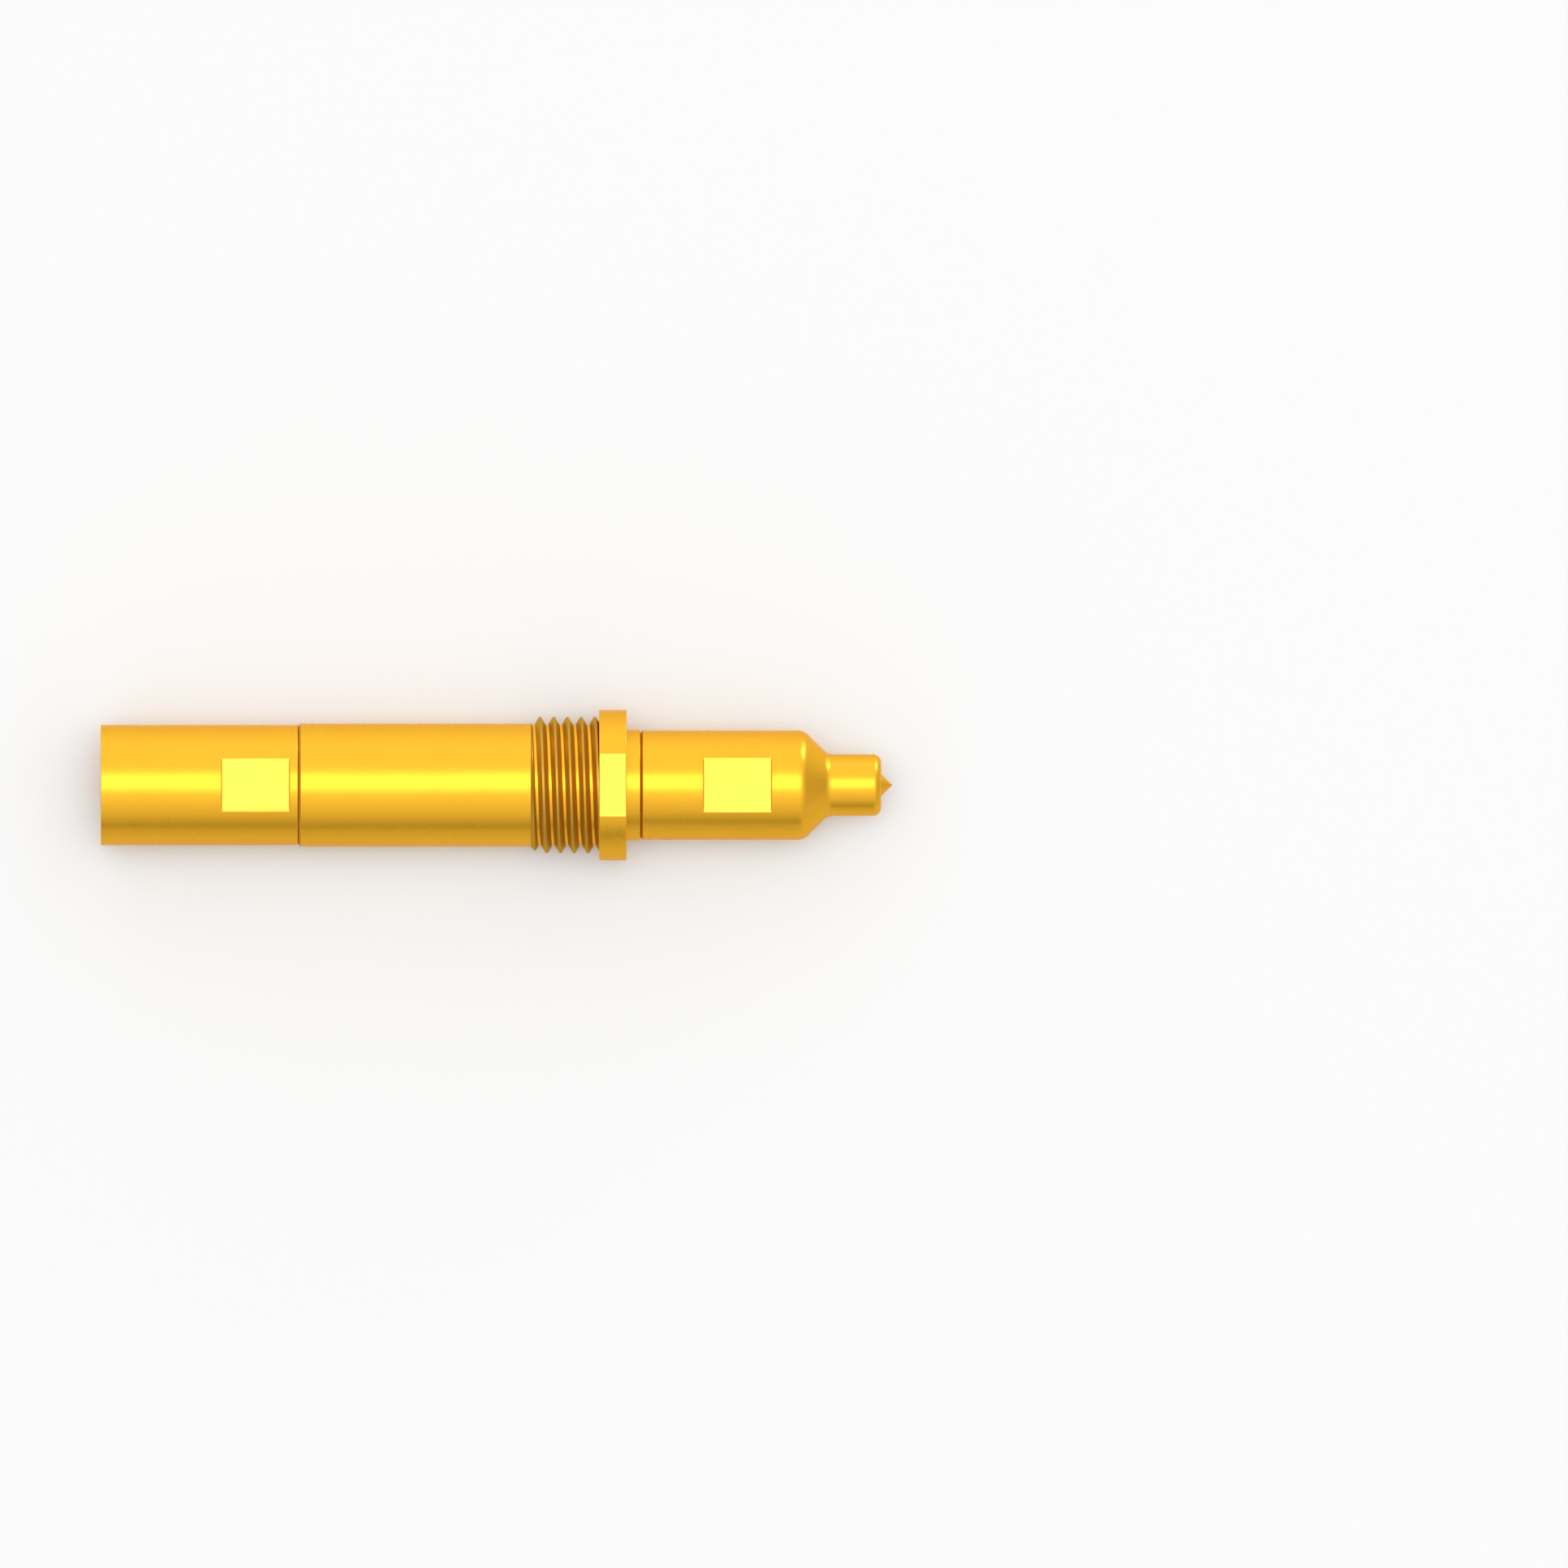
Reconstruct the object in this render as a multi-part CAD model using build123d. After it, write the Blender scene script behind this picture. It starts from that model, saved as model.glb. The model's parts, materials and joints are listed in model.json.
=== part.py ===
from build123d import *
from math import cos, pi, radians, sin, tan
import os

# A coaxial RF test probe: a sprung contact head in a mounting barrel with a fine thread.
# All sizes are millimetres. X runs along the probe, from the coax jack at the rear to the
# contact tip, and X = 0 is the rear face of the barrel's collar, which seats on the plate
# that the probe is screwed into. The spanner flats face up and down, along Z.

# Clearances, each on one side of the gap
running_gap = 0.03  # metal that slides in metal
screw_gap = 0.02  # screwed joints, whose threads are drawn as plain cylinders
bead_gap = 0.02  # insulators in their bores and on their conductors
edge_break = 0.1  # the chamfers that show at the seams
mouth_break = 0.08  # the chamfers inside bores

# Barrel, with its M5 x 0.5 thread and collar
barrel_od = 4.5
barrel_wall = 0.195  # round the guide's bore
barrel_reach = 11.0  # from the collar's rear face to the barrel's rear end
barrel_end_wall = 1.2  # carries the spring, and keys the plunger's shaft
thread_od = 4.9  # over the crests, inside the nominal 5 as cut threads are
thread_length = 2.5
collar_od = 5.5
collar_thickness = 1.0
collar_across_flats = 5.0

# Plunger, the outer conductor that slides in the barrel
stroke = 4.0
guide_reach = 0.5  # what stands out of the collar at rest
guide_length = 4.5
shaft_od = 3.0  # also the thread at both ends
shaft_across_flats = 2.7
line_bore = 2.35  # 50 ohm in air round the centre conductor
head_thread_length = 2.1
jack_thread_length = 2.2

# Contact head, screwed to the front of the plunger
head_inset = 0.025  # how far the head lies inside the guide's surface, to follow it into the barrel
head_barrel_length = 5.975  # from its seam to the corner of the cone
head_across_flats = 3.47
head_flat_offset = 2.3  # from the seam
head_flat_length = 2.5
shoulder_radius = 0.5
neck_od = 2.25
neck_length = 1.95
neck_root_radius = 0.45
neck_lip_radius = 0.3
neck_bore = 1.6  # air round the contact pin
neck_bore_length = 2.7

# Coax jack, screwed to the rear of the plunger
jack_od = 4.4
jack_length = 7.2
jack_across_flats = 3.95
jack_flat_offset = 0.3  # from its front face
jack_flat_length = 2.5
jack_bore = 3.5
jack_depth = 4.0
jack_entry_bore = 3.9  # the plug's entry, which a cone takes down to the bore
jack_entry_depth = 1.0
jack_web = 0.4

# Centre line: contact pin, its tube, the centre conductor and the jack's socket
pin_od = 0.78  # the part that slides in the tube
pin_neck_od = 0.62
pin_tail_length = 1.2
tip_od = 0.8
tip_land = 0.9
tip_angle = 90.0  # of the whole cone, in degrees
tip_stroke = 1.0
tube_od = 1.02
tube_setback = 0.1  # of the tube's mouth inside the front bead
tube_lip = 0.25  # the mouth, rolled in round the pin's neck
spigot_length = 1.0  # the end of the centre conductor that the tube is pushed onto
pellet_od = 0.7  # the insulator between the pin and its spring
pellet_length = 0.5
stem_od = 0.52  # the socket's stem, in the rear end of the centre conductor
stem_length = 1.4
stem_clearance_depth = 0.1
slot_width = 0.1
socket_od = 0.9
socket_setback = 0.1
socket_bore = 0.52  # takes a 0.5 centre pin
socket_bore_depth = 2.4
socket_slot_length = 1.9

# Insulators
front_bead_length = 1.0
joint_bead_length = 0.8
middle_bead_length = 1.0
middle_bead_offset = 2.9  # from the plunger's rear end
middle_bead_seat_od = 0.82
jack_insulator_od = 2.0
jack_insulator_setback = 1.6  # from the rear end
jack_insulator_flange = 0.6

# Springs
main_coil_gap = 0.1  # between the coil and the shaft, and between the coil and the barrel
main_coil_turns = 6.5
pin_wire = 0.1
pin_coil_gap = 0.07  # between the coil and the tube
pin_coil_turns = 7.0
pin_spring_reserve = 1.1  # what stays open between the coils at the full stroke
chords_per_turn = 10
wire_sides = 6

# Places along X that several pieces share
barrel_rear = -barrel_reach
collar_front = collar_thickness
end_wall_face = barrel_rear + barrel_end_wall
seam = collar_front + guide_reach
guide_rear = seam - guide_length
guide_od = barrel_od - 2 * (barrel_wall + running_gap)
head_od = guide_od - 2 * head_inset
plunger_front = seam + head_thread_length
plunger_rear = barrel_rear - jack_thread_length
cone_length = (head_od - neck_od) / 2
cone_front = seam + head_barrel_length + cone_length
head_face = cone_front + neck_length
tip_height = tip_od / 2 / tan(radians(tip_angle / 2))
bore_step = head_face - neck_bore_length
jack_rear = barrel_rear - jack_length
jack_floor = jack_rear + jack_depth
jack_web_front = jack_floor + jack_web
joint_bead_front = plunger_front + joint_bead_length
middle_bead_rear = plunger_rear + middle_bead_offset
middle_bead_front = middle_bead_rear + middle_bead_length
tube_front = bore_step - tube_setback
tail_front = tube_front - tube_lip
pin_rear = tail_front - pin_tail_length
pellet_rear = pin_rear - pellet_length

# Bores and seats that follow from the pieces in them
barrel_bore = guide_od + 2 * running_gap
shaft_thread_bore = shaft_od + 2 * screw_gap
tube_bore = pin_od + 2 * running_gap
lip_bore = pin_neck_od + 2 * running_gap
stem_bore = stem_od + 2 * screw_gap
spigot_od = tube_bore - 2 * screw_gap

# The main spring fills the space between the plunger's shaft and the barrel, less its clearances
main_coil_diameter = (barrel_bore + shaft_od) / 2
main_wire = (barrel_bore - shaft_od) / 2 - 2 * main_coil_gap

# The pin's spring lies between its pellet and the centre conductor's spigot
pin_coil_diameter = tube_bore - 2 * pin_coil_gap - pin_wire
pin_spring_length = pin_coil_turns * pin_wire + pin_spring_reserve + tip_stroke
spigot_front = pellet_rear - pin_spring_length
tube_rear = spigot_front - spigot_length


def turned(*outline):
    """A solid turned about X, from the (x, radius) corners of half its section."""
    corners = [(x, radius, 0) for x, radius in outline]
    return revolve(make_face(Polyline(*corners, close=True)), Axis.X)


def rod(start, end, diameter):
    """A round bar along X."""
    bar = Cylinder(diameter / 2, end - start, align=(Align.CENTER, Align.CENTER, Align.MIN))
    return Pos(start, 0, 0) * Rot(0, 90, 0) * bar


def ring(start, end, outside, inside):
    """A plain tube along X."""
    return rod(start, end, outside) - rod(start, end, inside)


def chamfered_mouth(face, inward, diameter, size):
    """What a countersink takes off the edge of a bore; inward is +1 or -1 along X."""
    radius = diameter / 2
    return turned((face, 0), (face, radius + size), (face + inward * size, radius), (face + inward * size, 0))


def flat_cuts(start, end, across_flats, stock):
    """The two slabs that are milled off a bar above and below, up to the bar's own diameter."""
    depth = stock / 2
    slab = Box(end - start, 2 * stock, depth, align=(Align.MIN, Align.CENTER, Align.MIN))
    upper = Pos(start, 0, across_flats / 2) * slab
    return upper + mirror(upper, Plane.XY)


def cross_slots(start, end, width, reach):
    """Two saw cuts at right angles, which split the end of a socket into four fingers."""
    cut = Box(end - start, reach, width, align=(Align.MIN, Align.CENTER, Align.CENTER))
    cut = Pos(start, 0, 0) * cut
    return cut + Rot(90, 0, 0) * cut


def coil_spring(start, end, coil_diameter, wire, turns):
    """A compression spring along X, in short straight chords, with both ends ground flat."""
    chord_count = round(turns * chords_per_turn)
    points = []
    for chord in range(chord_count + 1):
        share = chord / chord_count
        angle = 2 * pi * turns * share
        radius = coil_diameter / 2
        points.append((start + share * (end - start), radius * cos(angle), radius * sin(angle)))
    path = Polyline(*points)
    section = Plane(origin=path @ 0, z_dir=path % 0) * RegularPolygon(wire / 2, wire_sides)
    coil = sweep(section, path, transition=Transition.RIGHT)
    return coil & rod(start, end, coil_diameter + 4 * wire)


def build_barrel():
    """The mounting barrel: thread and collar outside, the plunger's guide bore inside."""
    small = barrel_od / 2
    thread = thread_od / 2
    lead = thread - small
    body = turned(
        (barrel_rear, 0),
        (barrel_rear, small - edge_break),
        (barrel_rear + edge_break, small),
        (-thread_length, small),
        (-thread_length + lead, thread),
        (0, thread),
        (0, collar_od / 2),
        (collar_front, collar_od / 2),
        (collar_front, 0),
    )
    body -= flat_cuts(0, collar_front, collar_across_flats, collar_od)
    body -= rod(end_wall_face, collar_front, barrel_bore)
    body -= chamfered_mouth(collar_front, -1, barrel_bore, mouth_break)
    key_hole = rod(barrel_rear, end_wall_face, shaft_od + 2 * running_gap)
    key_hole -= flat_cuts(barrel_rear, end_wall_face, shaft_across_flats + 2 * running_gap, 2 * shaft_od)
    return body - key_hole


def build_plunger():
    """The sliding outer conductor, with a thread at each end and flats that key its shaft."""
    guide = guide_od / 2
    shaft = shaft_od / 2
    body = turned(
        (plunger_rear, 0),
        (plunger_rear, shaft),
        (guide_rear, shaft),
        (guide_rear, guide - mouth_break),
        (guide_rear + mouth_break, guide),
        (seam, guide),
        (seam, shaft),
        (plunger_front, shaft),
        (plunger_front, 0),
    )
    # The shoulders where the flats end meet the barrel's end wall at the end of the stroke
    body -= flat_cuts(plunger_rear, end_wall_face + stroke, shaft_across_flats, shaft_od)
    return body - rod(plunger_rear, plunger_front, line_bore)


def head_outline():
    """Half the section of the contact head, solid, with its three rounded corners."""
    radius = head_od / 2
    neck = neck_od / 2
    shoulder_corner = (cone_front - cone_length, radius)
    neck_corner = (cone_front, neck)
    lip_corner = (head_face, neck)
    corners = [
        (seam, 0),
        (seam, radius - edge_break),
        (seam + edge_break, radius),
        shoulder_corner,
        neck_corner,
        lip_corner,
        (head_face, 0),
    ]
    face = make_face(Polyline(*corners, close=True))
    roundings = (
        (shoulder_corner, shoulder_radius),
        (neck_corner, neck_root_radius),
        (lip_corner, neck_lip_radius),
    )
    for corner, size in roundings:
        face = fillet(face.vertices().sort_by_distance((*corner, 0))[0], size)
    return face


def build_contact_head():
    """The nose that meets the connector under test, bored for the line and the contact pin."""
    body = revolve(head_outline(), Axis.X)
    flat_start = seam + head_flat_offset
    body -= flat_cuts(flat_start, flat_start + head_flat_length, head_across_flats, head_od)
    body -= rod(seam, joint_bead_front, shaft_thread_bore)
    body -= rod(joint_bead_front, bore_step, line_bore)
    return body - rod(bore_step, head_face, neck_bore)


def build_jack():
    """The rear coax jack: spanner flats outside, the plug's entry and bore inside."""
    entry = jack_entry_bore / 2
    bore = jack_bore / 2
    entry_front = jack_rear + jack_entry_depth
    flat_end = barrel_rear - jack_flat_offset
    body = rod(jack_rear, barrel_rear, jack_od)
    body -= flat_cuts(flat_end - jack_flat_length, flat_end, jack_across_flats, jack_od)
    body -= turned(
        (jack_rear, 0),
        (jack_rear, entry + edge_break),
        (jack_rear + edge_break, entry),
        (entry_front, entry),
        (entry_front + entry - bore, bore),
        (jack_floor, bore),
        (jack_floor, 0),
    )
    body -= rod(jack_floor, jack_web_front, jack_insulator_od + 2 * bead_gap)
    return body - rod(jack_web_front, barrel_rear, shaft_thread_bore)


def build_contact_pin():
    """The sprung centre contact: a pointed tip, a neck and a tail that the tube's mouth holds in."""
    tail = pin_od / 2
    neck = pin_neck_od / 2
    tip = tip_od / 2
    cone = Cone(tip, 0, tip_height, align=(Align.CENTER, Align.CENTER, Align.MIN))
    body = turned(
        (pin_rear, 0),
        (pin_rear, tail),
        (tail_front, tail),
        (tail_front, neck),
        (head_face - tip_land, neck),
        (head_face - tip_land, tip),
        (head_face, tip),
        (head_face, 0),
    )
    return body + Pos(head_face, 0, 0) * Rot(0, 90, 0) * cone


def build_pin_tube():
    """The tube that guides the pin and its spring, its mouth rolled in round the pin's neck."""
    body = rod(tube_rear, tube_front, tube_od) - rod(tube_rear, tail_front, tube_bore)
    return body - rod(tail_front, tube_front, lip_bore)


def build_centre_conductor():
    """The long centre rod: the tube's spigot in front, a split bead's seat and the socket's bore behind."""
    body = rod(plunger_rear, tube_rear, tube_od) + rod(tube_rear, spigot_front, spigot_od)
    body -= ring(middle_bead_rear, middle_bead_front, 2 * tube_od, middle_bead_seat_od)
    return body - rod(plunger_rear, plunger_rear + stem_length + stem_clearance_depth, stem_bore)


def build_socket_contact():
    """The jack's centre socket, split into four fingers round the plug's pin."""
    rear = jack_rear + jack_insulator_setback + socket_setback
    body = rod(rear, plunger_rear, socket_od) + rod(plunger_rear, plunger_rear + stem_length, stem_od)
    body -= rod(rear, rear + socket_bore_depth, socket_bore)
    body -= chamfered_mouth(rear, 1, socket_bore, mouth_break)
    return body - cross_slots(rear, rear + socket_slot_length, slot_width, 2 * socket_od)


def build_front_bead():
    """The insulator behind the neck, which centres the pin's tube."""
    return ring(bore_step - front_bead_length, bore_step, line_bore - 2 * bead_gap, tube_od + 2 * bead_gap)


def build_joint_bead():
    """The insulator that is gripped where the head screws onto the plunger."""
    return ring(plunger_front, joint_bead_front, shaft_od, tube_od + 2 * bead_gap)


def build_middle_bead():
    """The split insulator that snaps into the centre conductor's groove."""
    start = middle_bead_rear + bead_gap
    end = middle_bead_front - bead_gap
    outside = line_bore - 2 * bead_gap
    split = Box(end - start, slot_width, outside, align=(Align.MIN, Align.CENTER, Align.MIN))
    return ring(start, end, outside, middle_bead_seat_od + 2 * bead_gap) - Pos(start, 0, 0) * split


def build_jack_insulator():
    """The jack's insulator: a flange gripped by the plunger, and a nose round the socket."""
    flange = plunger_rear - jack_insulator_flange
    body = rod(flange, plunger_rear, shaft_od)
    body += rod(jack_rear + jack_insulator_setback, flange, jack_insulator_od)
    return body - rod(jack_rear + jack_insulator_setback, plunger_rear, socket_od + 2 * bead_gap)


nodes = {
    "barrel": build_barrel(),
    "plunger": build_plunger(),
    "contact_head": build_contact_head(),
    "coax_jack": build_jack(),
    "main_spring": coil_spring(end_wall_face, guide_rear, main_coil_diameter, main_wire, main_coil_turns),
    "contact_pin": build_contact_pin(),
    "pin_pellet": rod(pellet_rear, pin_rear, pellet_od),
    "pin_spring": coil_spring(spigot_front, pellet_rear, pin_coil_diameter, pin_wire, pin_coil_turns),
    "pin_tube": build_pin_tube(),
    "centre_conductor": build_centre_conductor(),
    "socket_contact": build_socket_contact(),
    "front_bead": build_front_bead(),
    "joint_bead": build_joint_bead(),
    "middle_bead": build_middle_bead(),
    "jack_insulator": build_jack_insulator(),
}

os.makedirs("parts", exist_ok=True)
for name, solid in nodes.items():
    export_step(solid, f"parts/{name}.step")
print("length", round(head_face + tip_height - jack_rear, 3), "seat to tip", round(head_face + tip_height, 3))
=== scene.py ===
"""Looks for the RF test probe: turned, milled and gold-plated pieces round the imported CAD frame.

Sizes are millimetres. X runs along the probe from the coax jack to the contact tip, and X = 0 is the
rear face of the barrel's collar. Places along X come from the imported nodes, diameters are fields.
"""
import json
import logging
import math
from dataclasses import dataclass, field
from enum import Enum, IntEnum
from typing import Callable, NamedTuple, Optional, Sequence, Union

import bmesh
import bpy
from bpy.types import ID, ColorRamp, Material, Mesh, NodeSocket, NodeTree, Object
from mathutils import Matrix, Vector


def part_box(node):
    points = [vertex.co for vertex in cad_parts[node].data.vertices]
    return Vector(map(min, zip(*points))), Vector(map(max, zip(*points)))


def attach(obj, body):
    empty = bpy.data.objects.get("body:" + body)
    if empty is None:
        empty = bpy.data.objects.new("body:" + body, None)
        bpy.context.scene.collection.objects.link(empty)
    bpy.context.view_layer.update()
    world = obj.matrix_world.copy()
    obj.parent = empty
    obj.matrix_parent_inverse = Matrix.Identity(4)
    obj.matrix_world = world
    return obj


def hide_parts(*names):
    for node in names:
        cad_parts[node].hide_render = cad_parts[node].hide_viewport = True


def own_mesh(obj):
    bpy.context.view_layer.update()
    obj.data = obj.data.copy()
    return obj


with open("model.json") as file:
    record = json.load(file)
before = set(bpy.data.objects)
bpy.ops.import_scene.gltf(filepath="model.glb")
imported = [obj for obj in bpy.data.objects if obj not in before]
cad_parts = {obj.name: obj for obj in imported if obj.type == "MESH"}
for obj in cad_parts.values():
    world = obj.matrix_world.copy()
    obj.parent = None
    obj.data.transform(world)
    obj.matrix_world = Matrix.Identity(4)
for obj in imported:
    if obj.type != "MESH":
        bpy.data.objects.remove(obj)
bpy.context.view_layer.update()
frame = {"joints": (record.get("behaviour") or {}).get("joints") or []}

log = logging.getLogger("rf_probe")

MM = 0.001
TAU = 2 * math.pi

COLUMNS = 180  # corners round an outer piece
INNER_COLUMNS = 96  # round the inner conductor
BEAD_COLUMNS = 120  # round the pin and the insulators
PELLET_COLUMNS = 72
COLUMN_ROOM = 0.4  # of a column, kept free beside the edge of a flat
SHARP_ANGLE = math.radians(21)
ARC_STEP = math.radians(12)
WELD = 1e-5
SEAM_DEPTH = 0.6  # the seams' darker plate, painted shade, lies on edges within this of a piece's outside
FLANK_SLOPE = math.tan(math.radians(30))  # of the thread, from a plane across the axis

# Roundings of edges, from as turned to broken by hand
CRISP = 0.01
KEEN = 0.015
BROKEN = 0.02
EASED = 0.03

ROUND_AXIS = (1.0, 0.02, 0.02)  # stretches noise into marks round the axis
ALONG_AXIS = (0.08, 1.0, 1.0)  # stretches noise into marks along it
WHITE = (1.0, 1.0, 1.0, 1.0)

Colour = tuple[float, float, float]
Point = tuple[float, float, float]
Row = Sequence[Point]
Stops = tuple[tuple[float, float], ...]


class Body(Enum):
    """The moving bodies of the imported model."""

    BARREL = "mounting_barrel"
    LINE = "sliding_line"
    PIN = "centre_pin"


class Slot(Enum):
    """The record's material slots."""

    GOLD_PLATE = "gold_plate"
    CONTACT_GOLD = "contact_gold"
    SPRING_STEEL = "spring_steel"
    PTFE = "ptfe"
    CERAMIC = "ceramic"


class Face(IntEnum):
    """A face's finish, by its number among the piece's materials."""

    MAIN = 0
    # The milled flats, whose plate is painted paler as a highlight tint
    MILLED = 1
    # Thread flanks, crests and seam chamfers: a rougher plate whose darker colour is painted shade
    PAINTED_SHADE = 2


class Socket:
    """An output of a shader node, with Python's operators for Math nodes."""

    def __init__(self, graph: "ShaderGraph", link: NodeSocket) -> None:
        """Wraps an output of a node in a graph."""
        self.graph = graph
        self.link = link

    def _math(self, operation: str, first: "Value", second: "Value", clamp: bool = False) -> "Socket":
        """Adds a Math node on two values."""
        settings = {"operation": operation, "use_clamp": clamp}
        return self.graph.node("ShaderNodeMath", settings, {0: first, 1: second})

    def __add__(self, other: "Value") -> "Socket":
        """This value plus another."""
        return self._math("ADD", self, other)

    def __sub__(self, other: "Value") -> "Socket":
        """This value less another."""
        return self._math("SUBTRACT", self, other)

    def __rsub__(self, other: float) -> "Socket":
        """A number less this value."""
        return self._math("SUBTRACT", other, self)

    def __mul__(self, other: "Value") -> "Socket":
        """This value times another."""
        return self._math("MULTIPLY", self, other)

    __radd__ = __add__
    __rmul__ = __mul__

    def clamped(self) -> "Socket":
        """This value held between 0 and 1."""
        return self._math("ADD", self, 0.0, clamp=True)


Value = Union[Socket, float]


class ShaderGraph:
    """The node tree of a material or of the world."""

    def __init__(self, tree: NodeTree) -> None:
        """Empties a node tree, to fill it anew."""
        self.tree = tree
        tree.nodes.clear()

    def node(self, kind: str, settings: dict[str, object], inputs: dict[object, object],
             output: object = 0) -> Socket:
        """Adds a node of any type.

        Args:
            kind: The node's type.
            settings: Its own settings, set before its sockets; "stops" is a ramp's (place, level) pairs.
            inputs: Values or sockets for its inputs, by name or number.
            output: The name or number of the output to return.

        Returns:
            The chosen output.
        """
        node = self.tree.nodes.new(kind)
        for key, value in settings.items():
            if key == "stops":
                self._set_stops(node.color_ramp, value)
            else:
                setattr(node, key, value)
        for key, value in inputs.items():
            if isinstance(value, Socket):
                self.tree.links.new(value.link, node.inputs[key])
            else:
                node.inputs[key].default_value = value
        return Socket(self, node.outputs[output])

    @staticmethod
    def _set_stops(ramp: ColorRamp, stops: Stops) -> None:
        """Gives a ramp its grey stops, eased from one to the next.

        Args:
            ramp: The ramp.
            stops: Its (place, level) pairs.
        """
        ramp.interpolation = "EASE"
        while len(ramp.elements) < len(stops):
            ramp.elements.new(1.0)
        for element, (place, level) in zip(ramp.elements, stops):
            element.position = place
            element.color = (level, level, level, 1.0)

    def close(self, kind: str, surface: Socket) -> None:
        """Links the last shader to an output node of this type."""
        output = self.tree.nodes.new(kind)
        self.tree.links.new(surface.link, output.inputs["Surface"])

    def point(self) -> Socket:
        """The place on the piece, in metres."""
        return self.node("ShaderNodeTexCoord", {}, {}, "Object")

    def stretched(self, point: Socket, scale: Point) -> Socket:
        """A point with each axis multiplied, through Vector Math."""
        return self.node("ShaderNodeVectorMath", {"operation": "MULTIPLY"}, {0: point, 1: scale})

    def noise(self, point: Socket, grain: float, detail: float, roughness: float) -> Socket:
        """Noise between 0 and 1 whose patches are about this many metres across."""
        inputs = {"Vector": point, "Scale": 1 / grain, "Detail": detail, "Roughness": roughness}
        return self.node("ShaderNodeTexNoise", {}, inputs, "Fac")

    def mixed(self, share: Value, first: Colour, second: Colour) -> Socket:
        """One colour going over to another, through a Mix node."""
        settings = {"data_type": "RGBA"}
        return self.node("ShaderNodeMix", settings, {0: share, 6: (*first, 1.0), 7: (*second, 1.0)}, 2)

    def bump(self, height: Socket, distance: float, strength: float) -> Socket:
        """A normal from a height whose range of 1 stands for a distance in metres."""
        inputs = {"Strength": strength, "Distance": distance, "Height": height}
        return self.node("ShaderNodeBump", {}, inputs, "Normal")


def new_material(name: str, surface: Callable[[ShaderGraph], Socket]) -> Material:
    """Makes a material.

    Args:
        name: The material's name.
        surface: Builds the nodes, and returns the last shader.

    Returns:
        The material.
    """
    material = bpy.data.materials.new(name)
    material.use_nodes = True
    graph = ShaderGraph(material.node_tree)
    graph.close("ShaderNodeOutputMaterial", surface(graph))
    return material


@dataclass(frozen=True)
class Finish:
    """A finish whose material is one Principled shader."""

    name: str

    def sockets(self, graph: ShaderGraph) -> dict[str, object]:
        """The shader's sockets by name, which each kind of finish gives."""
        raise NotImplementedError

    def surface(self, graph: ShaderGraph) -> Socket:
        """The finish's shader."""
        return graph.node("ShaderNodeBsdfPrincipled", {}, self.sockets(graph), "BSDF")

    def material(self) -> Material:
        """The finish as a material."""
        return new_material(self.name, self.surface)


@dataclass(frozen=True)
class GoldPlate(Finish):
    """Gold plating over brass, through which the cutter's marks show."""

    colour: Colour = (1.0, 0.515, 0.021)
    tarnished: Colour = (0.97, 0.48, 0.019)
    roughness: float = 0.28
    mark_spacing: float = 0.07 * MM
    mark_depth: float = 0.0005 * MM
    mark_strength: float = 0.25
    mark_gloss: float = 0.05  # how far the marks change the roughness
    cloud_size: float = 2.2 * MM
    cloud_gloss: float = 0.08
    cloud_share: tuple[float, float] = (0.45, 2.0)  # where tarnish starts, and how steeply it rises
    edge_tint: Colour = (0.92, 0.68, 0.25)
    coat: float = 0.3
    coat_roughness: float = 0.25

    def sockets(self, graph: ShaderGraph) -> dict[str, object]:
        """Lays cutter marks round the axis, and faint clouds of tarnish.

        Args:
            graph: The material's graph.

        Returns:
            The Principled shader's sockets.
        """
        point = graph.point()
        marks = graph.noise(graph.stretched(point, ROUND_AXIS), self.mark_spacing, 2.0, 0.5)
        clouds = graph.noise(point, self.cloud_size, 4.0, 0.6)
        gloss = (marks - 0.5) * self.mark_gloss
        threshold, rise = self.cloud_share
        return {
            "Base Color": graph.mixed(((clouds - threshold) * rise).clamped(), self.colour, self.tarnished),
            "Metallic": 1.0,
            "Roughness": (clouds - 0.5) * self.cloud_gloss + gloss + self.roughness,
            "Specular Tint": (*self.edge_tint, 1.0),
            "Coat Weight": self.coat,
            "Coat Roughness": self.coat_roughness,
            "Normal": graph.bump(marks, self.mark_depth, self.mark_strength),
        }


@dataclass(frozen=True)
class PlainStock(Finish):
    """Wire or insulator stock, whose one grain shows in its colour, gloss and surface."""

    colour: Colour
    shade: Colour
    roughness: float
    grain: float
    depth: float
    metallic: float = 0.0
    stretch: Point = (1.0, 1.0, 1.0)
    detail: float = 4.0
    coarseness: float = 0.6
    shade_start: float = 0.35  # of the noise's range
    shade_rise: float = 1.6
    strength: float = 0.3
    gloss: float = 0.1  # how far the grain changes the roughness

    def sockets(self, graph: ShaderGraph) -> dict[str, object]:
        """Lays the grain through the stock.

        Args:
            graph: The material's graph.

        Returns:
            The Principled shader's sockets.
        """
        point = graph.stretched(graph.point(), self.stretch)
        grain = graph.noise(point, self.grain, self.detail, self.coarseness)
        share = ((grain - self.shade_start) * self.shade_rise).clamped()
        return {
            "Base Color": graph.mixed(share, self.colour, self.shade),
            "Metallic": self.metallic,
            "Roughness": (grain - 0.5) * self.gloss + self.roughness,
            "Normal": graph.bump(grain, self.depth, self.strength),
        }


@dataclass(frozen=True)
class Dress:
    """What a piece wears: its slot in the record, and its materials in the order of Face."""

    slot: Slot
    materials: Sequence[Material]


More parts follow.
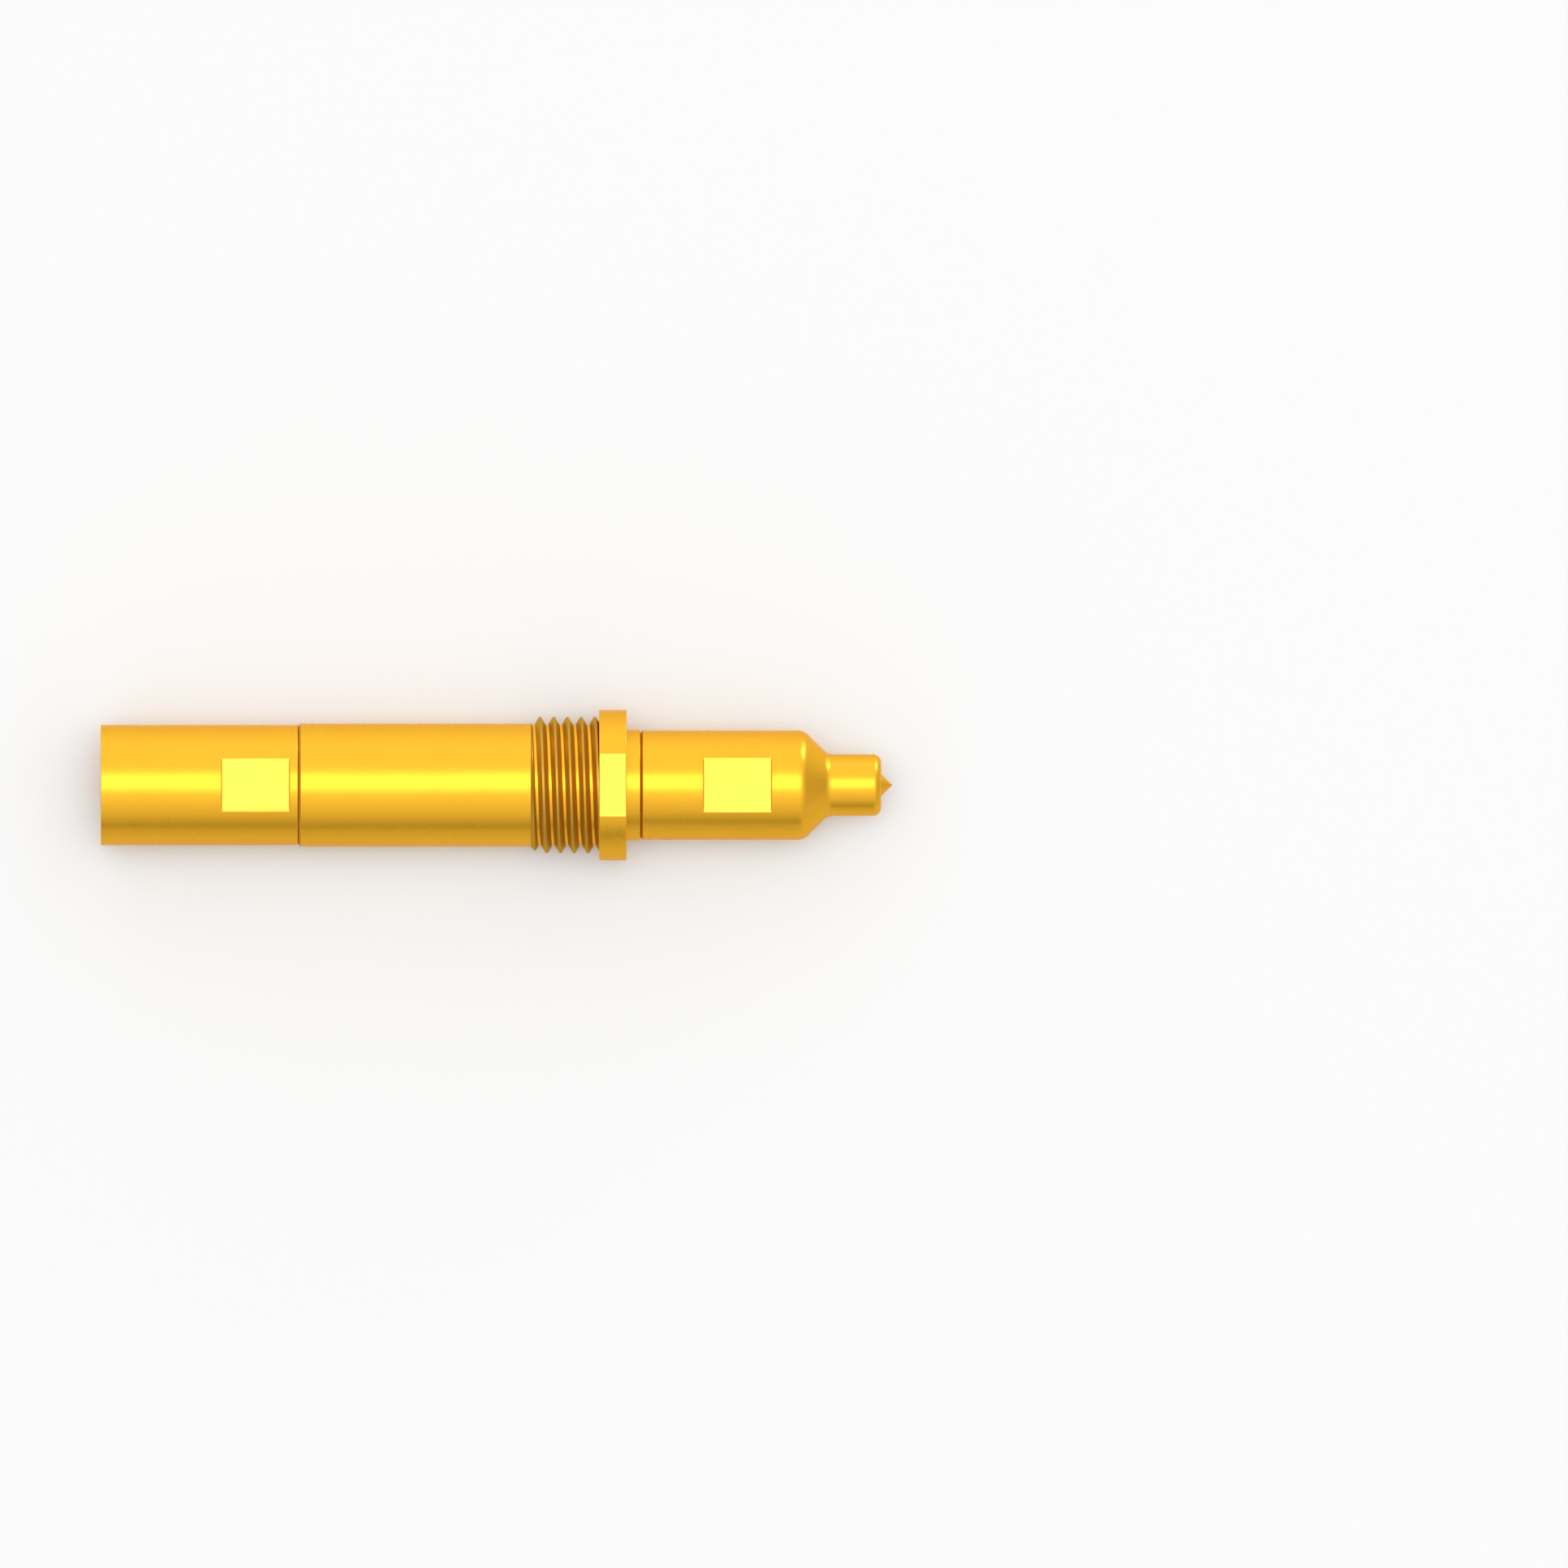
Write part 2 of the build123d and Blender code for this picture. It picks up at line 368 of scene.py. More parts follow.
class Finishes:
    """Every finish on the probe, made once."""

    def __init__(self) -> None:
        """Makes the materials."""
        self.plate = Dress(Slot.GOLD_PLATE, (
            GoldPlate("turned_gold_plate").material(),
            # The milled plate is really rougher with wider-spaced marks; its paler colour is a painted
            # highlight tint
            GoldPlate("milled_gold_plate_painted_highlight", (1.0, 0.52, 0.055), (0.97, 0.49, 0.05), 0.32, 0.11 * MM,
                      0.0004 * MM).material(),
            # Rougher plate for thread flanks, crests and seam chamfers; its darker colour is painted shade
            GoldPlate("gold_plate_painted_shade", (0.62, 0.355, 0.045), (0.58, 0.33, 0.04), 0.45, 0.04 * MM,
                      coat=0.1).material(),
        ))
        contact = GoldPlate("contact_gold", (1.0, 0.51, 0.03), (0.97, 0.48, 0.027), 0.3, 0.03 * MM,
                            0.0003 * MM)
        wire = PlainStock("spring_steel", (0.56, 0.56, 0.57), (0.4, 0.39, 0.38), 0.3, 0.04 * MM,
                          0.0005 * MM, 1.0, ALONG_AXIS, detail=3.0, coarseness=0.5, shade_start=0.0,
                          shade_rise=1.0)
        ptfe = PlainStock("ptfe", (0.88, 0.88, 0.86), (0.8, 0.8, 0.77), 0.45, 0.5 * MM, 0.001 * MM)
        ceramic = PlainStock("ceramic", (0.86, 0.83, 0.77), (0.8, 0.77, 0.7), 0.25, 0.12 * MM, 0.001 * MM)
        self.contact = Dress(Slot.CONTACT_GOLD, (contact.material(),))
        self.wire = Dress(Slot.SPRING_STEEL, (wire.material(),))
        self.ptfe = Dress(Slot.PTFE, (ptfe.material(),))
        self.ceramic = Dress(Slot.CERAMIC, (ceramic.material(),))


class Reach(NamedTuple):
    """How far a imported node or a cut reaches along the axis."""

    rear: float
    front: float

    @classmethod
    def of(cls, node: str) -> "Reach":
        """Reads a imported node's two ends from the frame."""
        low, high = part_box(node)
        return cls(low.x / MM, high.x / MM)


def packed(node: str) -> Reach:
    """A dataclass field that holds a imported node's reach."""
    return field(default_factory=lambda: Reach.of(node))


def radii(*diameters: float) -> tuple[float, ...]:
    """Half of each diameter."""
    return tuple(diameter / 2 for diameter in diameters)


class Corner(NamedTuple):
    """A corner of a turned section, which may be rounded."""

    x: float
    radius: float
    rounding: float = 0.0

    def towards(self, other: "Corner") -> Vector:
        """The direction to another corner."""
        return (Vector((other.x, other.radius)) - Vector((self.x, self.radius))).normalized()


class Ring(NamedTuple):
    """Corners round the axis at one place, held within a height where a flat is milled."""

    x: float
    radius: float
    height: float = math.inf
    cut_radius: Optional[float] = None


@dataclass(frozen=True)
class Flats:
    """A pair of flats, milled above and below between two places along the axis."""

    start: float
    end: float
    half_width: float
    stock: float
    edge_break: float = 0.012
    cutter_radius: float = 0.03
    edge_room: float = 0.1  # how far the bar's own edge breaks lie from its surface

    def first_shoulder(self) -> list[Ring]:
        """Lays the rings where the cutter goes into a round bar.

        Returns:
            The rings, from rear to front.
        """
        low = (1 - math.cos(math.radians(45))) * self.cutter_radius
        return [
            Ring(self.start - self.edge_break, self.stock),
            Ring(self.start, self.stock, cut_radius=self.stock - self.edge_break),
            Ring(self.start, self.stock, self.half_width + self.cutter_radius),
            Ring(self.start + low, self.stock, self.half_width + low),
            Ring(self.start + self.cutter_radius, self.stock, self.half_width),
        ]

    def last_shoulder(self) -> list[Ring]:
        """The rings where the cutter comes out again, from rear to front."""
        middle = self.start + self.end
        return [ring._replace(x=middle - ring.x) for ring in reversed(self.first_shoulder())]

    def covers(self, corner: Corner) -> bool:
        """Whether a corner of the section lies on the bar's surface, along the flats."""
        along = self.start - WELD <= corner.x <= self.end + WELD
        return along and abs(corner.radius - self.stock) < self.edge_room

    def shoulders(self, corner: Corner, after: Corner) -> list[Ring]:
        """The rings of the shoulders that lie between two corners of the section.

        Args:
            corner: A corner of the section.
            after: The next corner.

        Returns:
            The rings, none where the section doesn't run forwards along the bar.
        """
        apart = max(abs(corner.radius - self.stock), abs(after.radius - self.stock))
        if after.x < corner.x + WELD or apart > WELD:
            return []
        rings = []
        if corner.x < self.start - WELD < after.x:
            rings += self.first_shoulder()
        if corner.x < self.end + WELD < after.x:
            rings += self.last_shoulder()
        return rings


def outline(*corners: Sequence[float]) -> list[Corner]:
    """A section from its corners, each a place, a radius and perhaps a rounding."""
    return [Corner(*corner) for corner in corners]


def rounded(corners: Sequence[Corner]) -> list[Corner]:
    """Turns the rounded corners of a closed section into points along their arcs.

    Args:
        corners: The section's corners, in order.

    Returns:
        The section's points, none of them rounded.
    """
    points = []
    for index, corner in enumerate(corners):
        if not corner.rounding:
            points.append(corner)
            continue
        here = Vector((corner.x, corner.radius))
        back = corner.towards(corners[index - 1])
        ahead = corner.towards(corners[(index + 1) % len(corners)])
        half = back.angle(ahead) / 2
        centre = here + (back + ahead).normalized() * (corner.rounding / math.sin(half))
        first = here + back * (corner.rounding / math.tan(half)) - centre
        turn = first.angle_signed(here + ahead * (corner.rounding / math.tan(half)) - centre)
        steps = max(3, math.ceil(abs(turn) / ARC_STEP))
        for step in range(steps + 1):
            angle = -turn * step / steps
            spoke = Vector((first.x * math.cos(angle) - first.y * math.sin(angle),
                            first.x * math.sin(angle) + first.y * math.cos(angle)))
            points.append(Corner(centre.x + spoke.x, max(0.0, centre.y + spoke.y)))
    return points


class Stock:
    """A piece's surface in millimetres, gathered before it becomes a Blender mesh."""

    def __init__(self) -> None:
        """Starts with no corners."""
        self.corners: list[Point] = []
        self.faces: list[tuple[int, ...]] = []
        self.finishes: list[Face] = []

    def add_rows(self, rows: Sequence[Row], finish: Callable[[Row], Face] = lambda corners: Face.MAIN,
                 shift: int = 0) -> None:
        """Joins rows of corners into quads, each row going once round.

        Args:
            rows: The corners, row by row.
            finish: Gives a quad's finish from its four corners.
            shift: How many rows on the last corner of a row joins, for a thread or a coil.
        """
        first = len(self.corners)
        count = len(rows[0])
        for row in rows:
            self.corners.extend(row)
        for row in range(len(rows) - 1 - shift):
            for column in range(count):
                after = column + 1
                step = 0
                if after == count:
                    after = 0
                    step = shift * count
                here = first + row * count
                across = here + after + step
                quad = (here + column, across, across + count, here + count + column)
                self.faces.append(quad)
                self.finishes.append(finish([self.corners[number] for number in quad]))

    def add_cap(self, ring: Row) -> None:
        """Closes an open end with one face.

        Args:
            ring: The end's corners.
        """
        first = len(self.corners)
        self.corners.extend(ring)
        self.faces.append(tuple(range(first, first + len(ring))))
        self.finishes.append(Face.MAIN)

    def mesh(self, name: str) -> Mesh:
        """Makes the Blender mesh, still in millimetres.

        Args:
            name: The mesh's name.

        Returns:
            The welded mesh, with its normals outwards.
        """
        data = bpy.data.meshes.new(name)
        data.from_pydata(self.corners, [], self.faces)
        data.polygons.foreach_set("material_index", self.finishes)
        work = bmesh.new()
        work.from_mesh(data)
        bmesh.ops.remove_doubles(work, verts=work.verts, dist=WELD)
        bmesh.ops.dissolve_degenerate(work, edges=work.edges, dist=WELD)
        bmesh.ops.recalc_face_normals(work, faces=work.faces)
        work.to_mesh(data)
        work.free()
        return data


def turned(section: Sequence[Corner], flats: Sequence[Flats] = (), columns: int = COLUMNS,
           closed: bool = True, seams: Sequence[Reach] = ()) -> Stock:
    """A piece turned about the axis, with flats milled on it.

    Args:
        section: The corners of half its section, in order, the outside from rear to front.
        flats: The flats.
        columns: How many corners a ring has, before those on the edges of the flats.
        closed: Whether the section closes on itself.
        seams: Where the outside is broken off at a seam, and its plate is darkened as painted shade.

    Returns:
        The piece's surface.
    """
    angles = ring_angles(flats, columns)
    limit = min((flat.half_width for flat in flats), default=math.inf)
    rings = section_rings(rounded(section), flats, closed)
    rows = [[ring_point(ring, angle, limit) for angle in angles] for ring in rings]
    floors = [flat.half_width for flat in flats]
    outside = max(corner.radius for corner in section) - SEAM_DEPTH

    def finish(corners: Row) -> Face:
        """Finds a face's finish.

        Args:
            corners: The face's corners.

        Returns:
            The milled finish on the flats, the darker painted-shade one at the seams, and the main one
            elsewhere.
        """
        rear = min(corner[0] for corner in corners)
        front = max(corner[0] for corner in corners)
        if front - rear < WELD:
            return Face.MAIN
        if any(max(abs(abs(corner[2]) - floor) for corner in corners) < WELD for floor in floors):
            return Face.MILLED
        inside = min(math.hypot(corner[1], corner[2]) for corner in corners) <= outside
        broken = any(seam.rear - WELD < rear and front < seam.front + WELD for seam in seams)
        # Seam chamfers take the darker plate: painted shade in the seams
        return Face.PAINTED_SHADE if broken and not inside else Face.MAIN

    stock = Stock()
    stock.add_rows(rows, finish)
    return stock


def section_rings(points: Sequence[Corner], flats: Sequence[Flats], closed: bool) -> list[Ring]:
    """Lays rings at every point of a section and along its flats.

    Args:
        points: The section's points, none of them rounded.
        flats: The flats.
        closed: Whether the section closes on itself.

    Returns:
        The rings in order, the first one again at the end where the section closes off the axis.
    """
    rings = []
    for point, after in zip(points, [*points[1:], points[0]]):
        height = math.inf
        for flat in flats:
            if flat.covers(point):
                height = flat.half_width - (flat.stock - point.radius)
        rings.append(Ring(point.x, point.radius, height))
        for flat in flats:
            rings.extend(flat.shoulders(point, after))
    if closed and max(points[0].radius, points[-1].radius) > WELD:
        rings.append(rings[0])
    return rings


def ring_angles(flats: Sequence[Flats], columns: int) -> list[float]:
    """The angles of a ring's corners, some of them exactly on the edges of the flats.

    Args:
        flats: The flats.
        columns: How many even steps go round.

    Returns:
        The angles from +Y towards +Z, in order.
    """
    edges = []
    for flat in flats:
        edge = math.asin(flat.half_width / flat.stock)
        edges.extend((edge, math.pi - edge, math.pi + edge, TAU - edge))
    even = [TAU * column / columns for column in range(columns)]
    step = TAU / columns
    kept = [angle for angle in even if all(abs(angle - edge) > COLUMN_ROOM * step for edge in edges)]
    return sorted(kept + edges)


def ring_point(ring: Ring, angle: float, limit: float) -> Point:
    """A ring's corner at an angle, cut down where it stands above the flats.

    Args:
        ring: The ring.
        angle: The angle from +Y towards +Z.
        limit: The height of the lowest flat.

    Returns:
        The corner.
    """
    radius = ring.radius
    if ring.cut_radius is not None and abs(radius * math.sin(angle)) > limit + WELD:
        radius = ring.cut_radius
    height = radius * math.sin(angle)
    return (ring.x, radius * math.cos(angle), math.copysign(min(abs(height), ring.height), height))


@dataclass(frozen=True)
class Thread:
    """A right-handed outside thread of 60 degrees with a 45 degree lead, up to a collar."""

    start: float
    end: float
    crest_radius: float
    lead_radius: float
    pitch: float = 0.5
    root_radius: float = 2.213
    crest_flat: float = 0.08
    edge_rounding: float = 0.005
    first_crest: float = -0.16  # where the crest next to the collar crosses +Y
    collar_relief: float = 0.005  # the collar's face starts this far outside the crests
    flank_rows: Point = (0.25, 0.5, 0.75)  # shares of the way down a flank

    def offsets(self) -> list[float]:
        """Lays the rows of a pitch.

        Returns:
            Their places from the middle of the crest, in order.
        """
        crest = self.crest_flat / 2
        root = crest + (self.crest_radius - self.root_radius) * FLANK_SLOPE
        half = [crest - self.edge_rounding, crest + self.edge_rounding]
        half += [crest + (root - crest) * share for share in self.flank_rows]
        half += [root - self.edge_rounding, root + self.edge_rounding]
        return sorted([-offset for offset in half] + [0.0] + half + [self.pitch / 2])

    def radius(self, x: float, angle: float) -> float:
        """Finds the thread's radius at a place, under the lead cone.

        Args:
            x: The place along the axis.
            angle: The angle from +Y towards +Z.

        Returns:
            The radius.
        """
        turn = (x - self.first_crest) / self.pitch - angle / TAU
        offset = abs(turn - round(turn)) * self.pitch
        depth = max(0.0, offset - self.crest_flat / 2) / FLANK_SLOPE
        return min(max(self.root_radius, self.crest_radius - depth), self.lead_radius + x - self.start)

    def in_root(self, corners: Row) -> bool:
        """Whether a face lies in the flat root between two turns."""
        limit = self.root_radius + self.edge_rounding
        return max(math.hypot(corner[1], corner[2]) for corner in corners) < limit

    def rows(self, angles: Sequence[float]) -> list[list[Point]]:
        """Winds the thread's rows.

        Args:
            angles: The angles of a ring's corners.

        Returns:
            The rows along the thread, all those beyond an end lying on that end.
        """
        turns = math.ceil((self.end - self.start) / self.pitch) + 2
        rows = []
        for turn in range(-turns, 3):
            for offset in self.offsets():
                row = []
                for angle in angles:
                    x = self.first_crest + (turn + angle / TAU) * self.pitch + offset
                    x = min(max(x, self.start), self.end)
                    radius = self.radius(x, angle)
                    row.append((x, radius * math.cos(angle), radius * math.sin(angle)))
                rows.append(row)
        return rows


@dataclass(frozen=True)
class Coil:
    """A compression spring of round wire, with closed ends that are ground flat."""

    reach: Reach
    mean_diameter: float
    wire: float
    turns: float
    closed_turns: float = 1.0
    ground: float = 0.2  # of the wire, off each end
    steps_per_turn: int = 40
    sides: int = 14

    def stock(self) -> Stock:
        """Winds the wire.

        Returns:
            The wire's surface.
        """
        steps = round(self.turns * self.steps_per_turn)
        stock = Stock()
        rows = [self.section(step / self.steps_per_turn) for step in range(steps + 1)]
        stock.add_rows(rows)
        stock.add_cap(rows[0])
        stock.add_cap(rows[-1])
        return stock

    def rise(self, turn: float) -> float:
        """Finds the wire's place along the axis, close at both ends and open between.

        Args:
            turn: How many turns the wire has gone.

        Returns:
            The place of its middle.
        """
        start = self.reach.rear + self.wire / 2 - self.ground * self.wire
        end = self.reach.front - self.wire / 2 + self.ground * self.wire
        body = (end - start - 2 * self.closed_turns * self.wire) / (self.turns - 2 * self.closed_turns)
        into = min(turn, self.closed_turns)
        through = min(max(turn - self.closed_turns, 0.0), self.turns - 2 * self.closed_turns)
        out = max(turn - (self.turns - self.closed_turns), 0.0)
        return start + (into + out) * self.wire + through * body

    def section(self, turn: float) -> list[Point]:
        """Lays the wire's round section, ground off at the spring's ends.

        Args:
            turn: How many turns the wire has gone.

        Returns:
            The section's corners.
        """
        angle = TAU * turn
        ring = []
        for side in range(self.sides):
            around = TAU * side / self.sides
            radius = (self.mean_diameter + self.wire * math.cos(around)) / 2
            x = self.rise(turn) + self.wire / 2 * math.sin(around)
            x = min(max(x, self.reach.rear), self.reach.front)
            ring.append((x, radius * math.cos(angle), radius * math.sin(angle)))
        return ring


def placed(name: str, data: ID) -> Object:
    """Makes an object and links it to the scene.

    Args:
        name: The object's name.
        data: Its mesh, lamp or camera.

    Returns:
        The object.
    """
    item = bpy.data.objects.new(name, data)
    bpy.context.scene.collection.objects.link(item)
    return item


@dataclass
class Assembly:
    """Pieces that are made together, and the finishes they wear."""

    finishes: Finishes

    def place(self, name: str, mesh: Mesh, dress: Dress, body: Body) -> Object:
        """Brings a mesh to metres and puts it in place of its node.

        Args:
            name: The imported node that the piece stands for.
            mesh: Its mesh, in millimetres.
            dress: What it wears.
            body: The body that it moves with.

        Returns:
            The piece.
        """
        work = bmesh.new()
        work.from_mesh(mesh)
        bpy.data.meshes.remove(mesh)
        bmesh.ops.scale(work, vec=(MM, MM, MM), verts=work.verts)
        data = bpy.data.meshes.new(name + "_looks")
        work.to_mesh(data)
        work.free()
        for material in dress.materials:
            data.materials.append(material)
        data.shade_smooth()
        data.set_sharp_from_angle(angle=SHARP_ANGLE)
        piece = placed(name + "_looks", data)
        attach(piece, body.value)
        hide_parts(name)
        log.info("%s: %d faces", name, len(data.polygons))
        return piece

    def wind(self, name: str, coil: Coil, body: Body, joint: str) -> None:
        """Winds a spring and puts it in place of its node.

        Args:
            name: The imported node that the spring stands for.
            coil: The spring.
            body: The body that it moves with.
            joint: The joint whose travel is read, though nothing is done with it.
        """
        spring = self.place(name, coil.stock().mesh(name), self.finishes.wire, body)
        travel = next(entry for entry in frame["joints"] if entry["name"] == joint)["range_m"][1]
        rear, front = coil.reach
        length = (front - rear) * MM
        rear * MM
        (length - travel) / length
        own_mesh(spring)


@dataclass
class MountingBarrel(Assembly):
    """The threaded barrel with its collar, and the spring inside it."""

    reach: Reach = packed("barrel")
    spring_reach: Reach = packed("main_spring")
    diameter: float = 4.5
    bore: float = 4.11
    edge_break: float = 0.1
    mouth_break: float = 0.08
    thread_length: float = 2.5
    crest_diameter: float = 4.98
    collar_diameter: float = 5.5
    collar_across_flats: float = 5.0
    key_hole: float = 3.06
    key_across_flats: float = 2.76
    spring_diameter: float = 3.555
    spring_wire: float = 0.355
    spring_turns: float = 7.5

    def build(self) -> None:
        """Makes the barrel and its spring."""
        outside, collar, key, bore = radii(self.diameter, self.collar_diameter, self.key_hole, self.bore)
        rear, front = self.reach
        wall = self.spring_reach.rear
        thread = Thread(-self.thread_length, 0.0, self.crest_diameter / 2, outside)
        first = Ring(thread.start, outside)
        last = Ring(thread.end, thread.crest_radius + thread.collar_relief)
        section = outline(
            (last.x, last.radius), (thread.end, collar, EASED), (front, collar, EASED),
            (front, bore + self.mouth_break, CRISP), (front - self.mouth_break, bore, CRISP),
            (wall, bore), (wall, key), (rear, key, BROKEN), (rear, outside - self.edge_break, BROKEN),
            (rear + self.edge_break, outside, BROKEN), (first.x, first.radius))
        flats = [
            Flats(thread.end, front, self.collar_across_flats / 2, collar),
            Flats(rear, wall, self.key_across_flats / 2, key),
        ]
        stock = turned(section, flats, closed=False, seams=[Reach(rear, rear + self.edge_break)])
        angles = ring_angles(flats, COLUMNS)
        rows = thread.rows(angles)
        ends = [[ring_point(ring, angle, math.inf) for angle in angles] for ring in (first, last)]
        stock.add_rows([ends[0], rows[0]])
        # Thread flanks and crests take the darker plate, painted shade; only the roots keep the main plate
        stock.add_rows(rows, lambda corners: Face.MAIN if thread.in_root(corners) else Face.PAINTED_SHADE,
                       shift=len(thread.offsets()))
        stock.add_rows([rows[-1], ends[1]])
        self.place("barrel", stock.mesh("barrel"), self.finishes.plate, Body.BARREL)
        coil = Coil(self.spring_reach, self.spring_diameter, self.spring_wire, self.spring_turns)
        self.wind("main_spring", coil, Body.BARREL, "plunger_slide")


@dataclass
class SlidingLine(Assembly):
    """The outer conductor that slides in the barrel: plunger, contact head and coax jack."""

    plunger_reach: Reach = packed("plunger")
    head_reach: Reach = packed("contact_head")
    jack_reach: Reach = packed("coax_jack")
    guide_rear: float = field(default_factory=lambda: Reach.of("main_spring").front)
    line_bore: float = 2.35
    guide_diameter: float = 4.05
    guide_break: float = 0.08
    shaft_diameter: float = 3.0
    shaft_across_flats: float = 2.7
    shaft_flats_front: float = -5.8
    head_diameter: float = 4.0
    seam_break: float = 0.1
    head_flats_start: float = 2.3  # from the seam
    flats_length: float = 2.5
    head_across_flats: float = 3.47
    neck_diameter: float = 2.25
    neck_length: float = 1.95
    neck_bore: float = 1.6
    neck_bore_length: float = 2.7
    shoulder_rounding: float = 0.5
    root_rounding: float = 0.45
    lip_rounding: float = 0.3
    thread_hole: float = 3.04
    jack_diameter: float = 4.4
    jack_flats_end: float = 0.3  # from the barrel
    jack_across_flats: float = 3.95
    jack_entry: float = 3.9
    jack_entry_depth: float = 1.0
    jack_entry_break: float = 0.1
    jack_entry_rounding: float = 0.05
    jack_end_rounding: float = 0.025
    jack_bore: float = 3.5
    jack_depth: float = 4.0
    jack_web: float = 0.4
    jack_web_hole: float = 2.04

    def build(self) -> None:
        """Makes the three outer pieces."""
        self.build_plunger()
        self.build_head()
        self.build_jack()

    def make(self, name: str, section: Sequence[Corner], flats: Sequence[Flats],
             seams: Sequence[Reach] = ()) -> None:
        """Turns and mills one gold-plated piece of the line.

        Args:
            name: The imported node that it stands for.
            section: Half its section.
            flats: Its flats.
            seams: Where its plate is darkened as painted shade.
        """
        self.place(name, turned(section, flats, seams=seams).mesh(name), self.finishes.plate, Body.LINE)

    def build_plunger(self) -> None:
        """Turns the plunger, whose guide shows in front of the collar."""
        rear, front = self.plunger_reach
        shaft, guide, bore = radii(self.shaft_diameter, self.guide_diameter, self.line_bore)
        seam = self.head_reach.rear
        section = outline(
            (rear, shaft, EASED), (self.guide_rear, shaft),
            (self.guide_rear, guide - self.guide_break, CRISP),
            (self.guide_rear + self.guide_break, guide, CRISP), (seam, guide, KEEN), (seam, shaft),
            (front, shaft, EASED), (front, bore, BROKEN), (rear, bore, BROKEN))
        flats = Flats(rear, self.shaft_flats_front, self.shaft_across_flats / 2, shaft)
        self.make("plunger", section, [flats])

    def build_head(self) -> None:
        """Turns the contact head, with its rounded shoulder, cone, neck and lip."""
        seam, face = self.head_reach
        radius, neck = radii(self.head_diameter, self.neck_diameter)
        neck_bore, line_bore, thread_hole = radii(self.neck_bore, self.line_bore, self.thread_hole)
        cone_front = face - self.neck_length
        bead_front = Reach.of("joint_bead").front
        bore_step = face - self.neck_bore_length
        start = seam + self.head_flats_start
        section = outline(
            (seam, radius - self.seam_break, BROKEN), (seam + self.seam_break, radius, BROKEN),
            (cone_front - (radius - neck), radius, self.shoulder_rounding),
            (cone_front, neck, self.root_rounding), (face, neck, self.lip_rounding),
            (face, neck_bore, KEEN), (bore_step, neck_bore, KEEN), (bore_step, line_bore),
            (bead_front, line_bore, BROKEN), (bead_front, thread_hole), (seam, thread_hole, EASED))
        flats = Flats(start, start + self.flats_length, self.head_across_flats / 2, radius)
        self.make("contact_head", section, [flats], [Reach(seam, seam + self.seam_break)])

    def build_jack(self) -> None:
        """Turns the coax jack, open at the rear for the plug."""
        rear, front = self.jack_reach
        radius, entry, bore = radii(self.jack_diameter, self.jack_entry, self.jack_bore)
        thread_hole, web_hole = radii(self.thread_hole, self.jack_web_hole)
        floor = rear + self.jack_depth
        end = front - self.jack_flats_end
        section = outline(
            (rear, radius, self.jack_end_rounding), (front, radius, self.jack_end_rounding),
            (front, thread_hole, EASED), (floor + self.jack_web, thread_hole),
            (floor + self.jack_web, web_hole), (floor, web_hole, BROKEN), (floor, bore),
            (rear + self.jack_entry_depth + entry - bore, bore, self.jack_entry_rounding),
            (rear + self.jack_entry_depth, entry, self.jack_entry_rounding),
            (rear + self.jack_entry_break, entry, BROKEN), (rear, entry + self.jack_entry_break, BROKEN))
        flats = Flats(end - self.flats_length, end, self.jack_across_flats / 2, radius)
        self.make("coax_jack", section, [flats])


